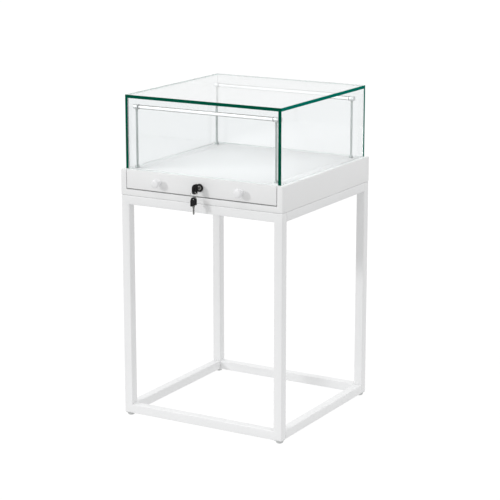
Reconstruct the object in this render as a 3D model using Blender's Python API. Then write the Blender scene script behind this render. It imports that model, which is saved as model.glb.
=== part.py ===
"""Glass table showcase: a square-tube stand, a low white box with a lockable pull-out display
deck, and a glass hood lit by two light bars.

Frame: metres, +Z up, the front faces -Y, +X to the right. The origin is on the floor, under the
middle of the overall box, which the hanging keys make deeper at the front than at the back.
The places below are given from the middle of the stand, and SHIFT moves the whole to the origin.
"""

import math

import bmesh
import bpy
from mathutils import Matrix, Vector

# ---------------------------------------------------------------- driving dimensions (metres)
WIDTH = 0.500
DEPTH = 0.500
TOTAL_HEIGHT = 0.902
DECK_HEIGHT = 0.700             # top of the box, and of the display deck
BOX_HEIGHT = 0.071
FIT = 0.0003                    # gap between pieces that are fixed to each other
RUN = 0.0006                    # gap between pieces that slide or turn past each other

TUBE = 0.025                    # the stand's square tube
TUBE_WALL = 0.0015
TUBE_CORNER = 0.0025
GLIDE_HEIGHT = 0.009
GLIDE_RADIUS = 0.0105
GLIDE_STEM = 0.015
GLIDE_BOWL = ((0.55, 0.0), (0.85, 0.22), (1.0, 0.6))    # shares of its radius and height
GLIDE_STEM_SHARE = 0.92         # of the room inside the tube

BOARD = 0.016                   # the box's white board
BOTTOM_PANEL = 0.006
FRONT_RAIL = 0.0165
BOARD_EDGE = 0.0006             # softened edges of the boards
DRAWER_SIDE_GAP = 0.0026
DRAWER_LOW_GAP = 0.0032
DECK_THICKNESS = 0.010
LEDGE_WIDTH = 0.034
LEDGE_THICKNESS = 0.008
BEARER_WIDTH = 0.030

SLIDE_THICKNESS = 0.0124
SLIDE_HEIGHT = 0.030
SLIDE_SHEET = 0.0012
SLIDE_BALL_GAP = 0.0022
SLIDE_SET_BACK = 0.002          # behind the drawer front
SLIDE_REAR_SPACE = 0.016        # left free behind the slides

KNOB_SPACING = 0.255
KNOB_RADIUS = 0.0125
KNOB_REACH = 0.026
KNOB_STUD_RADIUS = 0.0025
KNOB_STUD_LENGTH = 0.011
KNOB_TURNING = (                # share of the radius, distance from the drawer front
    (0.58, 0.0020), (0.42, 0.0060), (0.40, 0.0100), (0.55, 0.0135), (0.88, 0.0160), (1.00, 0.0190),
    (0.97, 0.0215), (0.80, 0.0240), (0.45, 0.0256),
)
KNOB_BASE = 0.62

LOCK_FACE = 0.004               # how far the lock stands out of the drawer front
LOCK_DROP = 0.0017              # below the middle of the drawer front
LOCK_FLANGE_RADIUS = 0.0110
LOCK_FLANGE_EDGE = 0.001
LOCK_BODY_RADIUS = 0.0090
LOCK_PLUG_RADIUS = 0.0060
LOCK_NUT_FLATS = 0.024
LOCK_NUT_THICKNESS = 0.004
LOCK_BODY_PAST_NUT = 0.001
LOCK_SHANK = 0.008              # the square that carries the cam
LOCK_CAM_REACH = 0.036
LOCK_CAM_WIDTH = 0.014
LOCK_CAM_SHEET = 0.002
LOCK_CAM_GAP = 0.002            # behind the drawer front and the rail
LOCK_CAM_NUT_GAP = 0.001

KEY_INSERTED = 0.014
KEY_SHOWN = 0.010               # bare metal between the lock and the plastic
KEY_SHOULDER = 0.004            # the wide part of the blade, next to the plastic
KEY_SHOULDER_WIDTH = 0.010
KEY_BOW_LENGTH = 0.0225
KEY_BOW_WIDTH = 0.0265
KEY_BOW_END_WIDTH = 0.0255
KEY_BOW_CORNERS = (             # distance along the bow, inset from its half width
    (0.0, 0.0012), (0.0012, 0.0),
)
KEY_BOW_END_CORNERS = (         # distance from the bow's end, inset from its half end width
    (0.0075, 0.0), (0.0035, 0.0012), (0.0012, 0.0038), (0.0, 0.0085),
)
KEY_BOW_THICKNESS = 0.0044
KEY_BLADE_WIDTH = 0.0068
KEY_BLADE_THICKNESS = 0.0018
KEY_TANG = 0.006
KEY_SLOT_LENGTH = 0.012
KEY_SLOT_WIDTH = 0.0035
KEY_SLOT_EDGE = 0.0035          # plastic between the slot and the bow's end
KEY_PLAY = 0.0004
RING_RADIUS = 0.0100
RING_WIRE = 0.0008

GLASS = 0.008
HOOD_INSET = 0.010              # from the box's outer faces to the panes' outer faces

LIGHT_OFFSET = -0.006           # the bars and posts stand a little left of the middle
POST_SIDE_INSET = 0.0163        # from a side pane's inner face, before that offset
POST_END_INSET = 0.024          # from the front and rear panes' inner faces
POST_RADIUS = 0.003
POST_FOOT_RADIUS = 0.0060
POST_FOOT_HEIGHT = 0.006
LIGHT_DROP = 0.027              # from the top pane down to a light bar's axis
LIGHT_RADIUS = 0.0055
CAP_RADIUS = 0.0065
CAP_LENGTH = 0.017
CAP_EDGE = 0.0008
TUBE_LIGHT_WALL = 0.001

INLET_RADIUS = 0.0060
INLET_FLANGE_RADIUS = 0.0080
INLET_FLANGE = 0.0015
INLET_SOCKET_RADIUS = 0.0033
INLET_LENGTH = 0.014
INLET_SIDE_OFFSET = 0.180

# ---------------------------------------------------------------- derived places
HALF_W = WIDTH / 2
HALF_D = DEPTH / 2
STAND_TOP = DECK_HEIGHT - BOX_HEIGHT
BOX_BOTTOM = STAND_TOP + FIT
WALL_X = HALF_W - BOARD         # inner faces of the box
WALL_Y = HALF_D - BOARD
HOOD_X = HALF_W - HOOD_INSET    # outer and inner faces of the hood's panes
HOOD_Y = HALF_D - HOOD_INSET
PANE_X = HOOD_X - GLASS
PANE_Y = HOOD_Y - GLASS
FRONT_BACK = -PANE_Y            # back of the drawer front, under the front pane's inner face
KEY_REACH = LOCK_FACE + KEY_SHOWN + KEY_BOW_LENGTH

DRAWER_LOW = BOX_BOTTOM + FRONT_RAIL + DRAWER_LOW_GAP
DRAWER_MID = (DRAWER_LOW + DECK_HEIGHT) / 2
DECK_HALF = WALL_X - LEDGE_WIDTH - RUN
DECK_UNDER = DECK_HEIGHT - DECK_THICKNESS
BEARER_OUT = WALL_X - SLIDE_THICKNESS - 2 * FIT
SLIDE_MID = (DRAWER_LOW + DECK_UNDER) / 2
SLIDE_BACK = WALL_Y - SLIDE_REAR_SPACE

LOCK_Z = min(DRAWER_MID - LOCK_DROP, DECK_UNDER - LOCK_NUT_FLATS / 2 - RUN)
LOCK_POINT = Vector((0, -HALF_D - LOCK_FACE, LOCK_Z))
LOCK_BODY_END = FRONT_BACK + FIT + LOCK_NUT_THICKNESS + LOCK_BODY_PAST_NUT
CAM_BACK = FRONT_BACK + LOCK_CAM_GAP
KEY_SLOT_START = KEY_REACH - LOCK_FACE - KEY_SLOT_EDGE - KEY_SLOT_WIDTH
RING_TOP = LOCK_POINT + Vector(
    (0, -KEY_SLOT_START - KEY_SLOT_WIDTH / 2, RING_WIRE + KEY_PLAY - KEY_SLOT_LENGTH / 2)
)
RING_LOW = RING_TOP - Vector((0, 0, 2 * RING_RADIUS))
SPARE_KEY_REACH = -HALF_D - RING_LOW.y + KEY_BOW_WIDTH / 2
FRONT_REACH = max(KEY_REACH, KNOB_REACH, SPARE_KEY_REACH)
SHIFT = Vector((0, (FRONT_REACH - INLET_FLANGE) / 2, 0))

HOOD_UNDER = TOTAL_HEIGHT - GLASS
POST_X = PANE_X - POST_SIDE_INSET
POST_Y = PANE_Y - POST_END_INSET
LIGHT_Z = HOOD_UNDER - LIGHT_DROP
INLET_Z = (BOX_BOTTOM + DECK_HEIGHT) / 2

ROUND = 24                      # sides of a small round piece
SIDES = (("left", -1), ("right", 1))
ENDS = (("front", -1), ("rear", 1))


# ---------------------------------------------------------------- materials
def material(name, colour, roughness, metallic=0.0, alpha=1.0):
    made = bpy.data.materials.new(name)
    made.use_nodes = True
    shader = made.node_tree.nodes["Principled BSDF"]
    shader.inputs["Base Color"].default_value = (*colour, 1.0)
    shader.inputs["Roughness"].default_value = roughness
    shader.inputs["Metallic"].default_value = metallic
    shader.inputs["Alpha"].default_value = alpha
    made.diffuse_color = (*colour, alpha)
    return made


LOOKS = {
    "powder_coat": ((0.80, 0.80, 0.80), 0.42, 0.0, 1.0),
    "white_board": ((0.84, 0.84, 0.84), 0.38, 0.0, 1.0),
    "raw_batten": ((0.72, 0.66, 0.55), 0.65, 0.0, 1.0),
    "zinc_steel": ((0.62, 0.63, 0.64), 0.30, 1.0, 1.0),
    "nickel": ((0.60, 0.58, 0.55), 0.22, 1.0, 1.0),
    "white_plastic": ((0.86, 0.86, 0.86), 0.35, 0.0, 1.0),
    "grey_plastic": ((0.55, 0.56, 0.57), 0.55, 0.0, 1.0),
    "black_plastic": ((0.012, 0.012, 0.013), 0.45, 0.0, 1.0),
    "clear_glass": ((0.72, 0.90, 0.84), 0.03, 0.0, 0.18),
    "satin_silver": ((0.66, 0.68, 0.68), 0.32, 1.0, 1.0),
    "opal_tube": ((0.93, 0.95, 0.96), 0.30, 0.0, 1.0),
}


# ---------------------------------------------------------------- building helpers
def world_of(thing):
    """Where an object stands in the world: the sum of the places above it."""
    place = Vector(thing.location)
    while thing.parent:
        thing = thing.parent
        place += thing.location
    return place


def empty(name, point, parent=None):
    """An empty at a point of the showcase, used as a joint's axis or as a group's root."""
    made = bpy.data.objects.new(name, None)
    made.empty_display_size = 0.02
    bpy.context.collection.objects.link(made)
    if parent:
        made.parent = parent
        made.location = Vector(point) + SHIFT - world_of(parent)
    else:
        made.location = Vector(point)
    return made


def add(name, mesh, look, parent, origin, smooth_angle=None):
    """Link a mesh whose points are given from origin, a point of the showcase."""
    made = bpy.data.objects.new(name, mesh)
    bpy.context.collection.objects.link(made)
    made.parent = parent
    made.location = Vector(origin) + SHIFT - world_of(parent)
    mesh.materials.append(material(name, *LOOKS[look]))
    if smooth_angle:
        mesh.shade_smooth()
        mesh.set_sharp_from_angle(angle=math.radians(smooth_angle))
    return made


def to_mesh(name, shape):
    bmesh.ops.recalc_face_normals(shape, faces=shape.faces)
    mesh = bpy.data.meshes.new(name)
    shape.to_mesh(mesh)
    shape.free()
    return mesh


def block(name, low, high, look, parent, edge=0.0, origin=None):
    """A rectangular piece between two corners of the showcase, with softened edges."""
    low, high = Vector(low), Vector(high)
    middle = (low + high) / 2
    origin = middle if origin is None else Vector(origin)
    shape = bmesh.new()
    bmesh.ops.create_cube(shape, size=1.0)
    bmesh.ops.scale(shape, vec=high - low, verts=shape.verts)
    bmesh.ops.translate(shape, vec=middle - origin, verts=shape.verts)
    made = add(name, to_mesh(name, shape), look, parent, origin)
    if edge:
        bevel = made.modifiers.new("softened_edges", "BEVEL")
        bevel.width = edge
        bevel.segments = 1
    return made


def turned_shape(profile, direction, closed=False, sides=ROUND):
    """A solid turned about an axis through the origin: profile holds (radius, distance) pairs.

    A closed profile runs round a ring; an open one starts and ends on the axis.
    """
    shape = bmesh.new()
    points = [shape.verts.new((radius, 0, along)) for radius, along in profile]
    edges = [shape.edges.new(pair) for pair in zip(points, points[1:])]
    if closed:
        edges.append(shape.edges.new((points[-1], points[0])))
    bmesh.ops.spin(
        shape, geom=points + edges, cent=(0, 0, 0), axis=(0, 0, 1),
        angle=2 * math.pi, steps=sides, use_merge=True,
    )
    bmesh.ops.remove_doubles(shape, verts=shape.verts, dist=1e-6)
    turn = Vector((0, 0, 1)).rotation_difference(Vector(direction)).to_matrix()
    bmesh.ops.rotate(shape, cent=(0, 0, 0), matrix=turn, verts=shape.verts)
    return shape


def turned(name, profile, direction, origin, look, parent, closed=False, sides=ROUND):
    shape = turned_shape(profile, direction, closed, sides)
    return add(name, to_mesh(name, shape), look, parent, origin, smooth_angle=35)


def extruded_shape(outline, u, v, start, stop):
    """A flat outline in the plane of u and v, drawn out along u x v from start to stop."""
    u, v = Vector(u), Vector(v)
    along = u.cross(v)
    shape = bmesh.new()
    corners = [shape.verts.new(u * a + v * b + along * start) for a, b in outline]
    face = shape.faces.new(corners)
    drawn = bmesh.ops.extrude_face_region(shape, geom=[face])
    moved = [item for item in drawn["geom"] if isinstance(item, bmesh.types.BMVert)]
    bmesh.ops.translate(shape, vec=along * (stop - start), verts=moved)
    return shape


def extruded(name, outline, u, v, start, stop, origin, look, parent):
    shape = extruded_shape(outline, u, v, start, stop)
    return add(name, to_mesh(name, shape), look, parent, origin)


def rounded_square(half, radius, steps=3):
    """Corner points of a square with rounded corners, anticlockwise."""
    points = []
    for quarter in range(4):
        middle = math.pi / 4 + quarter * math.pi / 2
        cx = math.copysign(half - radius, math.cos(middle))
        cy = math.copysign(half - radius, math.sin(middle))
        for step in range(steps):
            angle = quarter * math.pi / 2 + step * math.pi / 2 / (steps - 1)
            points.append((cx + radius * math.cos(angle), cy + radius * math.sin(angle)))
    return points


def square_tube(name, middle, axis, length, parent):
    """A hollow square tube with open ends, centred on a point of the showcase."""
    half = TUBE / 2
    outer = rounded_square(half, TUBE_CORNER)
    inner = rounded_square(half - TUBE_WALL, TUBE_CORNER - TUBE_WALL)
    shape = bmesh.new()
    rings = []
    for outline, along in ((outer, -1), (outer, 1), (inner, 1), (inner, -1)):
        rings.append([shape.verts.new((a, b, along * length / 2)) for a, b in outline])
    for ring, following in zip(rings, rings[1:] + rings[:1]):
        for i, point in enumerate(ring):
            j = (i + 1) % len(ring)
            shape.faces.new((point, ring[j], following[j], following[i]))
    turn = Vector((0, 0, 1)).rotation_difference(Vector(axis)).to_matrix()
    bmesh.ops.rotate(shape, cent=(0, 0, 0), matrix=turn, verts=shape.verts)
    return add(name, to_mesh(name, shape), "powder_coat", parent, middle, smooth_angle=40)


def cut(piece, name, shape, origin):
    """Take a closed shape out of a piece; the cutter stays hidden in the file as a guide."""
    cutter = bpy.data.objects.new(name, to_mesh(name, shape))
    bpy.context.collection.objects.link(cutter)
    cutter.parent = piece.parent
    cutter.location = Vector(origin) + SHIFT - world_of(piece.parent)
    cutter.hide_render = True
    cutter.display_type = "WIRE"
    step = piece.modifiers.new(name, "BOOLEAN")
    step.operation = "DIFFERENCE"
    step.object = cutter


# ---------------------------------------------------------------- the stand
def build_stand(root):
    leg_length = STAND_TOP - GLIDE_HEIGHT
    leg_middle = (STAND_TOP + GLIDE_HEIGHT) / 2
    leg_x, leg_y = HALF_W - TUBE / 2, HALF_D - TUBE / 2
    levels = (("top", STAND_TOP - TUBE / 2), ("bottom", GLIDE_HEIGHT + TUBE / 2))
    for end, sy in ENDS:
        for side, sx in SIDES:
            place = (sx * leg_x, sy * leg_y, leg_middle)
            square_tube(f"leg_{end}_{side}", place, (0, 0, 1), leg_length, root)
            build_glide(f"glide_{end}_{side}", sx * leg_x, sy * leg_y, root)
        for level, z in levels:
            length = WIDTH - 2 * TUBE - 2 * FIT
            square_tube(f"{level}_rail_{end}", (0, sy * leg_y, z), (1, 0, 0), length, root)
    for side, sx in SIDES:
        for level, z in levels:
            length = DEPTH - 2 * TUBE - 2 * FIT
            square_tube(f"{level}_rail_{side}", (sx * leg_x, 0, z), (0, 1, 0), length, root)


def build_glide(name, x, y, root):
    """A push-in foot: a bowl-shaped pad under the leg and a stem inside the tube."""
    stem = GLIDE_STEM_SHARE * (TUBE / 2 - TUBE_WALL - FIT)
    profile = [
        (0, 0), *((r * GLIDE_RADIUS, z * GLIDE_HEIGHT) for r, z in GLIDE_BOWL),
        (GLIDE_RADIUS, GLIDE_HEIGHT - FIT), (stem, GLIDE_HEIGHT - FIT),
        (stem, GLIDE_HEIGHT + GLIDE_STEM), (0, GLIDE_HEIGHT + GLIDE_STEM),
    ]
    turned(name, profile, (0, 0, 1), (x, y, 0), "grey_plastic", root)


# ---------------------------------------------------------------- the box
def build_box(root):
    for side, sx in SIDES:
        inner, outer = sorted((sx * WALL_X, sx * HALF_W))
        block(f"box_side_{side}", (inner, -HALF_D, BOX_BOTTOM), (outer, HALF_D, DECK_HEIGHT),
              "white_board", root, BOARD_EDGE)
        low, high = sorted((sx * (WALL_X - LEDGE_WIDTH), sx * (WALL_X - FIT)))
        block(f"ledge_{side}", (low, FRONT_BACK + RUN, DECK_HEIGHT - LEDGE_THICKNESS),
              (high, WALL_Y - FIT, DECK_HEIGHT), "white_board", root, BOARD_EDGE)
    inside = WALL_X - FIT
    rear = block("box_rear_panel", (-inside, WALL_Y, BOX_BOTTOM), (inside, HALF_D, DECK_HEIGHT),
                 "white_board", root, BOARD_EDGE)
    block("box_front_rail", (-inside, -HALF_D, BOX_BOTTOM),
          (inside, -WALL_Y, BOX_BOTTOM + FRONT_RAIL), "white_board", root, BOARD_EDGE)
    block("box_bottom_panel", (-inside, -WALL_Y + FIT, BOX_BOTTOM),
          (inside, WALL_Y - FIT, BOX_BOTTOM + BOTTOM_PANEL), "white_board", root)
    build_inlet(rear, root)


def build_inlet(rear_panel, root):
    """The low-voltage socket of the light bars, through the rear panel."""
    mouth = Vector((INLET_SIDE_OFFSET, HALF_D + INLET_FLANGE, INLET_Z))
    hole = turned_shape(
        [(0, -BOARD), (INLET_RADIUS + FIT, -BOARD), (INLET_RADIUS + FIT, BOARD), (0, BOARD)],
        (0, -1, 0),
    )
    cut(rear_panel, "inlet_hole", hole, (mouth.x, HALF_D - BOARD / 2, mouth.z))
    turned("dc_inlet", [
        (0, INLET_LENGTH / 2), (INLET_SOCKET_RADIUS, INLET_LENGTH / 2), (INLET_SOCKET_RADIUS, 0),
        (INLET_FLANGE_RADIUS, 0), (INLET_FLANGE_RADIUS, INLET_FLANGE - FIT),
        (INLET_RADIUS, INLET_FLANGE - FIT), (INLET_RADIUS, INLET_LENGTH), (0, INLET_LENGTH),
    ], (0, -1, 0), mouth, "black_plastic", root)


# ---------------------------------------------------------------- the slides under the deck
def channel(web, tip, half_height):
    """A C of sheet: web and tip are distances from the box wall, the flanges point to tip."""
    toward = math.copysign(SLIDE_SHEET, tip - web)
    low = half_height - SLIDE_SHEET
    return [
        (web, -half_height), (tip, -half_height), (tip, -low), (web + toward, -low),
        (web + toward, low), (tip, low), (tip, half_height), (web, half_height),
    ]


def build_slides(root, deck, middles):
    """Three nested channels each side: fixed to the wall, running at half speed, on the bearer."""
    fixed_half = SLIDE_HEIGHT / 2
    middle_half = fixed_half - SLIDE_SHEET - SLIDE_BALL_GAP
    moving_half = middle_half - SLIDE_SHEET - SLIDE_BALL_GAP
    depth = SLIDE_THICKNESS
    middle_web = SLIDE_SHEET + SLIDE_BALL_GAP
    moving_tip = middle_web + SLIDE_SHEET + RUN
    members = {
        "slide_outer": (channel(0, depth - SLIDE_SHEET - RUN, fixed_half), root),
        "slide_middle": (channel(middle_web, depth - SLIDE_SHEET - RUN, middle_half), None),
        "slide_inner": (channel(depth, moving_tip, moving_half), deck),
    }
    for side, sx in SIDES:
        for name, (outline, parent) in members.items():
            parent = parent or middles[side]
            extruded(f"{name}_{side}", outline, (-sx, 0, 0), (0, 0, 1), sx * (FRONT_BACK + SLIDE_SET_BACK),
                     sx * SLIDE_BACK, (sx * (WALL_X - FIT), 0, SLIDE_MID), "zinc_steel", parent)


# ---------------------------------------------------------------- the pull-out display deck
def build_deck(deck):
    face_half = WALL_X - DRAWER_SIDE_GAP
    front = block("drawer_front", (-face_half, -HALF_D, DRAWER_LOW),
                  (face_half, FRONT_BACK, DECK_HEIGHT), "white_board", deck, BOARD_EDGE)
    block("deck_board", (-DECK_HALF, FRONT_BACK + FIT, DECK_UNDER),
          (DECK_HALF, PANE_Y - RUN, DECK_HEIGHT), "white_board", deck)
    for side, sx in SIDES:
        low, high = sorted((sx * (BEARER_OUT - BEARER_WIDTH), sx * BEARER_OUT))
        block(f"deck_bearer_{side}", (low, FRONT_BACK + FIT, DRAWER_LOW),
              (high, SLIDE_BACK, DECK_UNDER - FIT), "raw_batten", deck)
        build_knob(f"knob_{side}", sx * KNOB_SPACING / 2, front, deck)
    bore = turned_shape(
        [(0, -BOARD), (LOCK_BODY_RADIUS + FIT, -BOARD), (LOCK_BODY_RADIUS + FIT, BOARD), (0, BOARD)],
        (0, 1, 0),
    )
    cut(front, "lock_hole", bore, (0, (-HALF_D + FRONT_BACK) / 2, LOCK_Z))


def build_knob(name, x, front, deck):
    """A turned mushroom knob with its fixing stud in the drawer front."""
    base = (x, -HALF_D, DRAWER_MID)
    hole_radius = KNOB_STUD_RADIUS + FIT
    hole_depth = KNOB_STUD_LENGTH + FIT
    hole = turned_shape(
        [(0, -hole_depth), (hole_radius, -hole_depth), (hole_radius, BOARD), (0, BOARD)],
        (0, -1, 0), sides=12,
    )
    cut(front, f"{name}_hole", hole, base)
    profile = [
        (0, -KNOB_STUD_LENGTH), (KNOB_STUD_RADIUS, -KNOB_STUD_LENGTH), (KNOB_STUD_RADIUS, FIT),
        (KNOB_RADIUS * KNOB_BASE, FIT),
        *((KNOB_RADIUS * share, out) for share, out in KNOB_TURNING), (0, KNOB_REACH),
    ]
    turned(name, profile, (0, -1, 0), base, "white_plastic", deck)


# ---------------------------------------------------------------- the cam lock
def build_lock(deck, plug_axis):
    """Housing and nut stay on the drawer front; plug and cam turn about plug_axis."""
    into = (0, 1, 0)
    flange = LOCK_FACE - FIT
    body_length = LOCK_BODY_END - LOCK_POINT.y
    bore = LOCK_PLUG_RADIUS + FIT
    turned("lock_barrel", [
        (bore, 0), (LOCK_FLANGE_RADIUS - LOCK_FLANGE_EDGE, 0), (LOCK_FLANGE_RADIUS, LOCK_FLANGE_EDGE),
        (LOCK_FLANGE_RADIUS, flange), (LOCK_BODY_RADIUS, flange), (LOCK_BODY_RADIUS, body_length),
        (bore, body_length),
    ], into, LOCK_POINT, "nickel", deck, closed=True)
    build_lock_nut(deck)

    plug_length = body_length + RUN
    plug = turned("lock_plug", [
        (0, 0), (LOCK_PLUG_RADIUS, 0), (LOCK_PLUG_RADIUS, plug_length - RUN), (0, plug_length - RUN),
    ], into, LOCK_POINT, "nickel", plug_axis)
    keyway_depth = KEY_INSERTED + KEY_PLAY
    half_t = KEY_BLADE_THICKNESS / 2 + KEY_PLAY
    half_w = KEY_BLADE_WIDTH / 2 + KEY_PLAY
    keyway = extruded_shape(
        [(-half_t, -half_w), (half_t, -half_w), (half_t, half_w), (-half_t, half_w)],
        (1, 0, 0), (0, 0, 1), -keyway_depth, KEY_SHOWN,
    )
    cut(plug, "keyway", keyway, LOCK_POINT)
    square = LOCK_SHANK / 2
    shank = extruded_shape(
        [(-square, -square), (square, -square), (square, square), (-square, square)],
        (1, 0, 0), (0, 0, 1), -plug_length - LOCK_NUT_THICKNESS, -plug_length + 2 * RUN,
    )
    weld(plug, "cam_square", shank, LOCK_POINT)
    build_cam(plug_axis)


def weld(piece, name, shape, origin):
    """Join a closed shape to a piece as one solid."""
    cut(piece, name, shape, origin)
    piece.modifiers[name].operation = "UNION"


def build_lock_nut(deck):
    corner = LOCK_NUT_FLATS / math.sqrt(3)
    outline = [(corner * math.cos(a), corner * math.sin(a)) for a in
               (math.pi / 3 * i for i in range(6))]
    start = FRONT_BACK + FIT
    nut = extruded("lock_nut", outline, (1, 0, 0), (0, 0, 1), -start - LOCK_NUT_THICKNESS, -start,
                   (0, 0, LOCK_Z), "nickel", deck)
    reach = 2 * LOCK_NUT_THICKNESS
    inner = LOCK_BODY_RADIUS + FIT
    hole = turned_shape([(0, -reach), (inner, -reach), (inner, reach), (0, reach)], (0, 1, 0))
    cut(nut, "nut_thread", hole, (0, start + LOCK_NUT_THICKNESS / 2, LOCK_Z))


def build_cam(plug_axis):
    """A cranked tongue: behind the nut at the middle, close behind the rail at its end."""
    near = LOCK_BODY_END + RUN
    far = near + LOCK_CAM_SHEET
    tip_near, tip_far = CAM_BACK, CAM_BACK + LOCK_CAM_SHEET
    heel = LOCK_CAM_WIDTH / 2
    crank = LOCK_NUT_FLATS / math.sqrt(3) + LOCK_CAM_NUT_GAP
    rise = LOCK_CAM_SHEET
    outline = [
        (-heel, near), (crank, near), (crank + rise, tip_near), (LOCK_CAM_REACH, tip_near),
        (LOCK_CAM_REACH, tip_far), (crank + rise * 1.6, tip_far), (crank + rise * 0.6, far),
        (-heel, far),
    ]
    cam = extruded("lock_cam", outline, (-1, 0, 0), (0, 1, 0), -heel, heel, (0, 0, LOCK_Z),
                   "zinc_steel", plug_axis)
    square = LOCK_SHANK / 2 + FIT
    hole = extruded_shape(
        [(-square, -square), (square, -square), (square, square), (-square, square)],
        (1, 0, 0), (0, 0, 1), -far - BOARD, -near + LOCK_CAM_SHEET,
    )
    cut(cam, "cam_hole", hole, (0, 0, LOCK_Z))


# ---------------------------------------------------------------- the keys and their ring
def build_key(names, tip, outward, flat, parent):
    """A flat key: tip is the blade's end, outward runs from it to the bow, flat spans the bow."""
    bow_name, blade_name = names
    bare = KEY_INSERTED + KEY_SHOWN
    half, shoulder = KEY_BLADE_WIDTH / 2, KEY_SHOULDER_WIDTH / 2
    side = [
        (0.0, half * 0.3), (half * 0.6, half), (bare - KEY_SHOULDER, half),
        (bare - KEY_SHOULDER, shoulder), (bare - FIT, shoulder), (bare - FIT, half),
        (bare + KEY_TANG, half),
    ]
    blade = [(a, -b) for a, b in side] + list(reversed(side))
    t = KEY_BLADE_THICKNESS / 2
    extruded(blade_name, blade, outward, flat, -t, t, tip, "nickel", parent)

    wide, end = KEY_BOW_WIDTH / 2, KEY_BOW_END_WIDTH / 2
    stop = bare + KEY_BOW_LENGTH
    right = [
        *((bare + along, wide - inset) for along, inset in KEY_BOW_CORNERS),
        *((stop - along, end - inset) for along, inset in KEY_BOW_END_CORNERS),
    ]
    outline = [(a, -b) for a, b in right] + list(reversed(right))
    t = KEY_BOW_THICKNESS / 2
    bow = extruded(bow_name, outline, outward, flat, -t, t, tip, "black_plastic", parent)

    slot_mid = KEY_INSERTED + KEY_SLOT_START + KEY_SLOT_WIDTH / 2
    radius = KEY_SLOT_WIDTH / 2
    straight = KEY_SLOT_LENGTH / 2 - radius
    slot = []
    for sign in (1, -1):
        for step in range(7):
            angle = math.pi * step / 6 + (0 if sign > 0 else math.pi)
            slot.append((slot_mid + radius * math.cos(angle), sign * straight + radius * math.sin(angle)))
    cut(bow, f"{bow_name}_slot", extruded_shape(slot, outward, flat, -2 * t, 2 * t), tip)

    pocket_w = KEY_BLADE_WIDTH / 2 + FIT
    pocket_end = bare + KEY_TANG + FIT
    pocket = [(0, -pocket_w), (pocket_end, -pocket_w), (pocket_end, pocket_w), (0, pocket_w)]
    pocket_t = KEY_BLADE_THICKNESS / 2 + FIT
    cut(bow, f"{bow_name}_pocket", extruded_shape(pocket, outward, flat, -pocket_t, pocket_t), tip)


def build_keys(key_axis, ring_axis, spare_axis):
    tip = LOCK_POINT + Vector((0, KEY_INSERTED, 0))
    build_key(("key_bow", "key_blade"), tip, (0, -1, 0), (0, 0, 1), key_axis)

    shape = bmesh.new()
    sides, wire_sides = 28, 8
    rings = []
    for i in range(sides):
        a = 2 * math.pi * i / sides
        rings.append([
            shape.verts.new((
                (RING_RADIUS + RING_WIRE * math.cos(b)) * math.cos(a), RING_WIRE * math.sin(b),
                (RING_RADIUS + RING_WIRE * math.cos(b)) * math.sin(a) - RING_RADIUS,
            )) for b in (2 * math.pi * j / wire_sides for j in range(wire_sides))
        ])
    for ring, following in zip(rings, rings[1:] + rings[:1]):
        for j, point in enumerate(ring):
            k = (j + 1) % wire_sides
            shape.faces.new((point, ring[k], following[k], following[j]))
    add("key_ring", to_mesh("key_ring", shape), "nickel", ring_axis, RING_TOP, smooth_angle=60)

    slot_far = KEY_INSERTED + KEY_SLOT_START + KEY_SLOT_WIDTH
    spare_tip = RING_LOW + Vector((0, 0, RING_WIRE + KEY_PLAY - slot_far))
    build_key(("spare_key_bow", "spare_key_blade"), spare_tip, (0, 0, 1), (0, 1, 0), spare_axis)


# ---------------------------------------------------------------- the glass hood
def build_hood(root):
    foot, head = DECK_HEIGHT + RUN, HOOD_UNDER - FIT
    for side, sx in SIDES:
        low, high = sorted((sx * PANE_X, sx * HOOD_X))
        block(f"glass_{side}", (low, -HOOD_Y, foot), (high, PANE_Y - FIT, head), "clear_glass", root)
    block("glass_rear", (-HOOD_X, PANE_Y, foot), (HOOD_X, HOOD_Y, head), "clear_glass", root)
    block("glass_front", (-PANE_X + FIT, -HOOD_Y, foot),
          (PANE_X - FIT, -PANE_Y, head), "clear_glass", root)
    block("glass_top", (-HOOD_X, -HOOD_Y, HOOD_UNDER), (HOOD_X, HOOD_Y, TOTAL_HEIGHT),
          "clear_glass", root)


# ---------------------------------------------------------------- the light bars
def build_lights(root):
    tube_half = POST_X - FIT
    for end, sy in ENDS:
        y = sy * POST_Y
        shell = LIGHT_RADIUS - TUBE_LIGHT_WALL
        turned(f"light_tube_{end}", [
            (shell, -tube_half), (LIGHT_RADIUS, -tube_half), (LIGHT_RADIUS, tube_half),
            (shell, tube_half),
        ], (1, 0, 0), (LIGHT_OFFSET, y, LIGHT_Z), "opal_tube", root, closed=True)
        for side, sx in SIDES:
            build_post(f"{end}_{side}", sx, y, root)


def build_post(place, sx, y, root):
    """A thin post on a cone foot, and the cap that holds the bar's end above it."""
    x = LIGHT_OFFSET + sx * POST_X
    foot = DECK_HEIGHT + FIT
    top = LIGHT_Z - CAP_RADIUS - FIT
    turned(f"light_post_{place}", [
        (0, 0), (POST_FOOT_RADIUS, 0), (POST_FOOT_RADIUS, POST_FOOT_HEIGHT * 0.35),
        (POST_RADIUS * 1.5, POST_FOOT_HEIGHT), (POST_RADIUS, POST_FOOT_HEIGHT), (POST_RADIUS, top - foot),
        (0, top - foot),
    ], (0, 0, 1), (x, y, foot), "satin_silver", root, sides=16)
    half = CAP_LENGTH / 2
    bore = LIGHT_RADIUS + FIT
    turned(f"light_cap_{place}", [
        (0, 0), (bore, 0), (bore, -half), (CAP_RADIUS, -half), (CAP_RADIUS, half - CAP_EDGE),
        (CAP_RADIUS - CAP_EDGE, half), (0, half),
    ], (sx, 0, 0), (x, y, LIGHT_Z), "satin_silver", root)


# ---------------------------------------------------------------- assembly
for old in list(bpy.data.objects):
    bpy.data.objects.remove(old, do_unlink=True)

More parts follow.
